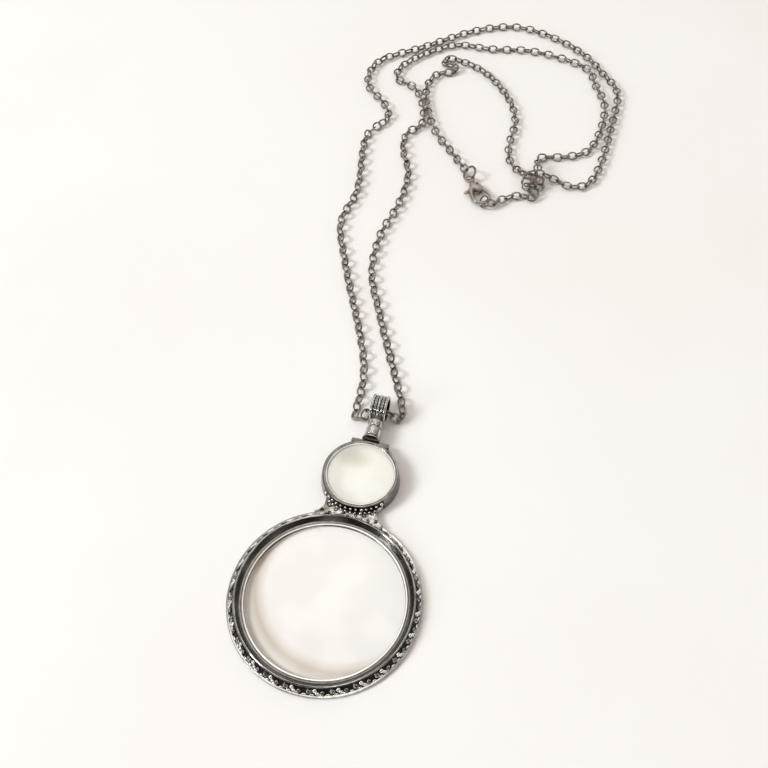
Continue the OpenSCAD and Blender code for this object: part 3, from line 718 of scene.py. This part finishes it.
chain_metal = plated_metal(
    "chain_metal", (0.42, 0.385, 0.345, 1), (0.015, 0.014, 0.012, 1), 1.0, 0.1, 0.2)
route = [on_route(point) for point in [FIRST_JOINT] + CHAIN_ROUTE + [LAST_JOINT]]
fine_route = smooth_path(route)
link_count = round(even_steps(fine_route, 1)[1] / LINK_PITCH)
joints, chain_length = even_steps(fine_route, link_count)
one_link = link_mesh()
chain_bm = bmesh.new()
for i, (a, b) in enumerate(zip(joints, joints[1:])):
    along = (b - a).normalized()
    side = Vector((0, 0, 1)).cross(along).normalized()
    over = along.cross(side)
    strand = a - PENDANT_AT
    if strand.y < STRANDS_Y and strand.x < STRANDS_X:
        rest = STRAND_LEAN
    else:
        rest = 30 * along.x - 8 * abs(along.y)
    lean = math.radians(rest + LEAN_SWAY * noise.noise(Vector((i * 0.045, 3.7, 0.0))) + 90 * (i % 2)
                        + LEAN_JITTER * noise.noise(Vector((i * 0.9, 1.3, 5.0))))
    across = side * math.cos(lean) + over * math.sin(lean)
    reach_down = LINK_WIRE / 2 + WIRE_REACH * max(abs(math.sin(lean)), abs(math.cos(lean)))
    settle = min(0.0, reach_down - CHAIN_RISE * MM)
    place = Matrix((along, across, along.cross(across))).transposed().to_4x4()
    place.translation = (a + b) / 2 + Vector((0, 0, settle))
    first = len(chain_bm.verts)
    chain_bm.from_mesh(one_link)
    chain_bm.verts.ensure_lookup_table()
    link = chain_bm.verts[first:]
    bmesh.ops.transform(chain_bm, matrix=place, verts=link)
    sunk = min(0.0, min(v.co.z for v in link))
    bmesh.ops.translate(chain_bm, verts=link, vec=(0, 0, -sunk))
bpy.data.meshes.remove(one_link)
chain_links = finish_piece("chain_links", chain_bm, chain_metal, 180)
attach(chain_links, ROOT)
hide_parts("chain")
print("chain:", link_count, "links,", round(chain_length * 1000, 1), "mm")

# The plain wire pieces, shown as model.glb holds them: the jump ring in the clasp's eye, the end
# ring that the clasp hooks, and the clasp's pin.
for node in ("jump_ring", "end_ring", "clasp_pin"):
    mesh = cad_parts[node].data
    mesh.materials.clear()
    mesh.materials.append(chain_metal)

# The lobster clasp: an eye, a full shank that the lever is sunk in, and a hook, cast in one.
# The lever turns on a pin, has a thumb piece on one side, and its gate shuts on the hook's tip.
# Places along and across the clasp are measured from the eye's outer end, in millimetres.
EYE_AT = PENDANT_AT + Vector((6.1, 139.4, 1.4)) * MM
EYE_R = 1.6
EYE_AXIS_R = 1.3
EYE_STEPS = 24
CLAW_AT = 9.5
CLAW_R = 2.6
CLAW_STEPS = 14
SLOT_HALF = 0.6
CAST_CELL = 0.08 * MM
CLASP_TURN = math.radians(-55)
clasp_place = (Matrix.Translation(EYE_AT) @ Matrix.Rotation(CLASP_TURN, 4, "Z")
               @ Matrix.Scale(MM, 4) @ Matrix.Translation((-EYE_R, 0, 0)))
satin_metal = plated_metal(
    "satin_metal", (0.5, 0.465, 0.425, 1), (0.2, 0.185, 0.165, 1), 0.3, 0.3, 0.1)


def add_limb(bm, rows, sides=14):
    """A rounded limb through rows of (along, across, half width, half thickness)."""
    points = [Vector((row[0], row[1], 0)) for row in rows]
    stations = []
    for i, (at, row) in enumerate(zip(points, rows)):
        along = (points[min(i + 1, len(rows) - 1)] - points[max(i - 1, 0)]).normalized()
        side = Vector((0, 0, 1)).cross(along)
        station = Matrix((side * row[2], Vector((0, 0, row[3])), along)).transposed().to_4x4()
        station.translation = at
        stations.append(clasp_place @ station)
    sweep(bm, stations, sides)


def cast(bm, name, material, cutter=None):
    """Fuses the limbs of a casting into one skin with soft inner corners, less the cutter."""
    bmesh.ops.recalc_face_normals(bm, faces=bm.faces)
    piece = finish_piece(name, bm, material, 180)
    fuse = piece.modifiers.new("fuse", "REMESH")
    fuse.mode = "VOXEL"
    fuse.voxel_size = CAST_CELL
    fuse.use_smooth_shade = True
    wear = piece.modifiers.new("wear", "SMOOTH")
    wear.factor = 0.5
    wear.iterations = 5
    if cutter:
        cut = piece.modifiers.new("cut", "BOOLEAN")
        cut.object = cutter
    finished = piece.evaluated_get(bpy.context.evaluated_depsgraph_get())
    shaped = bpy.data.meshes.new_from_object(finished)
    piece.modifiers.clear()
    piece.data = shaped
    if not shaped.materials:
        shaped.materials.append(material)
    return piece


body_bm = bmesh.new()
eye = [clasp_place @ Matrix.Translation((EYE_R, 0, 0))
       @ Matrix.Rotation(math.radians(k * 360 / EYE_STEPS), 4, "Z")
       @ Matrix.Translation((EYE_AXIS_R, 0, 0)) @ Matrix.Rotation(math.pi / 2, 4, "X")
       @ Matrix.Diagonal((0.32, 0.42, 1, 1)) for k in range(EYE_STEPS + 1)]
sweep(body_bm, eye, 12)
shank = [(2.75, 0, 0.6, 0.4), (3.3, 0, 1.1, 0.8), (4.2, 0, 1.65, 1.2), (5.2, 0, 2.1, 1.38),
         (6.1, 0, 2.3, 1.38), (6.7, -0.2, 2.1, 1.2), (7.1, -0.5, 1.5, 0.8)]
add_limb(body_bm, shank, 24)
hook = [(5.4, -1.2, 0.8, 1.2), (6.4, -1.8, 0.8, 1.2), (7.4, -2.2, 0.75, 1.1)]
for k in range(CLAW_STEPS + 1):
    angle = math.radians(-105 + 175 * k / CLAW_STEPS)
    thick = 1.0 - 0.38 * min(1, k / 7)
    hook.append((CLAW_AT + CLAW_R * math.cos(angle), CLAW_R * math.sin(angle), 0.64, thick))
add_limb(body_bm, hook)

slot_bm = bmesh.new()
slot_face = slot_bm.faces.new([slot_bm.verts.new((x, y, -SLOT_HALF)) for x, y in (
    (3.55, 0.7), (3.4, -4.4), (7.5, -4.4), (7.5, -1.1),
    (9.5, -0.9), (9.5, 4.4), (5.0, 4.4), (3.7, 1.75))])
lifted = bmesh.ops.extrude_face_region(slot_bm, geom=[slot_face])["geom"]
lifted = [g for g in lifted if isinstance(g, bmesh.types.BMVert)]
bmesh.ops.translate(slot_bm, verts=lifted, vec=(0, 0, 2 * SLOT_HALF))
bmesh.ops.recalc_face_normals(slot_bm, faces=slot_bm.faces)
bmesh.ops.transform(slot_bm, verts=slot_bm.verts, matrix=clasp_place)
slot_shape = finish_piece("slot_shape", slot_bm, satin_metal)
lobster_body = cast(body_bm, "lobster_body", satin_metal, slot_shape)
bpy.data.objects.remove(slot_shape)
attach(lobster_body, ROOT)
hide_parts("clasp_body")

lever_bm = bmesh.new()
gate = [(4.1, 0.2, 0.6, 0.5), (5.0, 0.75, 0.95, 0.52), (6.0, 1.6, 0.7, 0.52),
        (7.3, 2.25, 0.52, 0.52), (8.6, 2.6, 0.44, 0.5), (9.6, 2.68, 0.4, 0.48),
        (10.0, 2.66, 0.34, 0.42)]
thumb_piece = [(5.0, 0.7, 0.6, 0.5), (5.8, -1.8, 0.6, 0.5), (6.3, -3.2, 0.58, 0.5),
               (6.5, -4.0, 0.52, 0.4)]
add_limb(lever_bm, gate)
add_limb(lever_bm, thumb_piece)
lobster_lever = cast(lever_bm, "lobster_lever", satin_metal)
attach(lobster_lever, "lever")
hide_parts("clasp_lever")

# The light is a soft window on the left, a little to the near side, in a room that is bright
# on the far side and dark on the near side, where the camera stands, with lit patches
# overhead. A weaker, lower lamp on the near left throws the faint long shadows.
CAMERA_AT = Vector((29.04, -177.85, 216.7)) * MM
CAMERA_TILT = math.radians(55.968)
CAMERA_TURN = math.radians(13.993)
CAMERA_LENS = 46.66
BRIGHT_SIDE = (-0.08, 0.40, 0.29)
OVERHEAD_GLOW = (3.3, 3.1, 2.85, 1)
ROOM_STRENGTH = 0.62
forward = Vector((-math.sin(CAMERA_TURN) * math.cos(CAMERA_TILT),
                  math.cos(CAMERA_TURN) * math.cos(CAMERA_TILT), -math.sin(CAMERA_TILT)))
camera_data = bpy.data.cameras.new("camera")
camera_data.lens = CAMERA_LENS
camera_data.sensor_width = 36
camera_data.clip_start = 0.01
camera = bpy.data.objects.new("camera", camera_data)
camera.location = CAMERA_AT
camera.rotation_euler = forward.to_track_quat("-Z", "Y").to_euler()
bpy.context.collection.objects.link(camera)
bpy.context.scene.camera = camera


def area_light(name, at, towards, size, power, colour, glints):
    """A soft rectangular light that faces a point. Only one that glints is seen in the metal."""
    data = bpy.data.lights.new(name, "AREA")
    data.shape = "RECTANGLE"
    data.size, data.size_y = size
    data.energy = power
    data.color = colour
    lamp = bpy.data.objects.new(name, data)
    lamp.location = at
    lamp.rotation_euler = (Vector(towards) - Vector(at)).to_track_quat("-Z", "Y").to_euler()
    lamp.visible_glossy = glints
    lamp.visible_transmission = False
    bpy.context.collection.objects.link(lamp)


area_light("window", (-1.5, -0.62, 1.3), (0, 0, 0), (0.6, 0.6), 31.0, (0.945, 0.975, 1.0), False)
area_light("lamp", (-1.2, -1.1, 0.62), (0, 0, 0), (0.3, 0.3), 5.0, (1.0, 0.98, 0.95), True)

world = bpy.data.worlds.new("room")
bpy.context.scene.world = world
world.use_nodes = True
nodes, links = world.node_tree.nodes, world.node_tree.links
background = nodes["Background"]
room_coords = nodes.new("ShaderNodeTexCoord").outputs["Generated"]
toward = nodes.new("ShaderNodeVectorMath")
toward.operation = "DOT_PRODUCT"
toward.inputs[1].default_value = BRIGHT_SIDE
links.new(room_coords, toward.inputs[0])
raised = nodes.new("ShaderNodeMath")
raised.inputs[1].default_value = 0.5
links.new(toward.outputs["Value"], raised.inputs[0])
walls = add_ramp(nodes, links, raised.outputs[0], [
    (0.2, (0.03, 0.03, 0.03, 1)), (0.45, (0.08, 0.076, 0.07, 1)), (0.68, (0.33, 0.30, 0.27, 1)),
    (0.9, (0.85, 0.78, 0.71, 1))])
lamps = add_ramp(nodes, links, add_noise(nodes, links, room_coords, 3.4, 1.0), [
    (0.53, (0, 0, 0, 1)), (0.64, (1, 1, 1, 1))])
height = nodes.new("ShaderNodeSeparateXYZ")
links.new(room_coords, height.inputs[0])
overhead = nodes.new("ShaderNodeMath")
overhead.operation = "MULTIPLY"
links.new(lamps, overhead.inputs[0])
links.new(add_ramp(nodes, links, height.outputs["Z"], [
    (0.15, (0, 0, 0, 1)), (0.4, (1, 1, 1, 1))]), overhead.inputs[1])
lit = nodes.new("ShaderNodeMix")
lit.data_type = "RGBA"
lit.inputs["B"].default_value = OVERHEAD_GLOW
links.new(overhead.outputs[0], lit.inputs["Factor"])
links.new(walls, lit.inputs["A"])
links.new(lit.outputs["Result"], background.inputs["Color"])
background.inputs["Strength"].default_value = ROOM_STRENGTH
bpy.context.scene.view_settings.view_transform = "Standard"
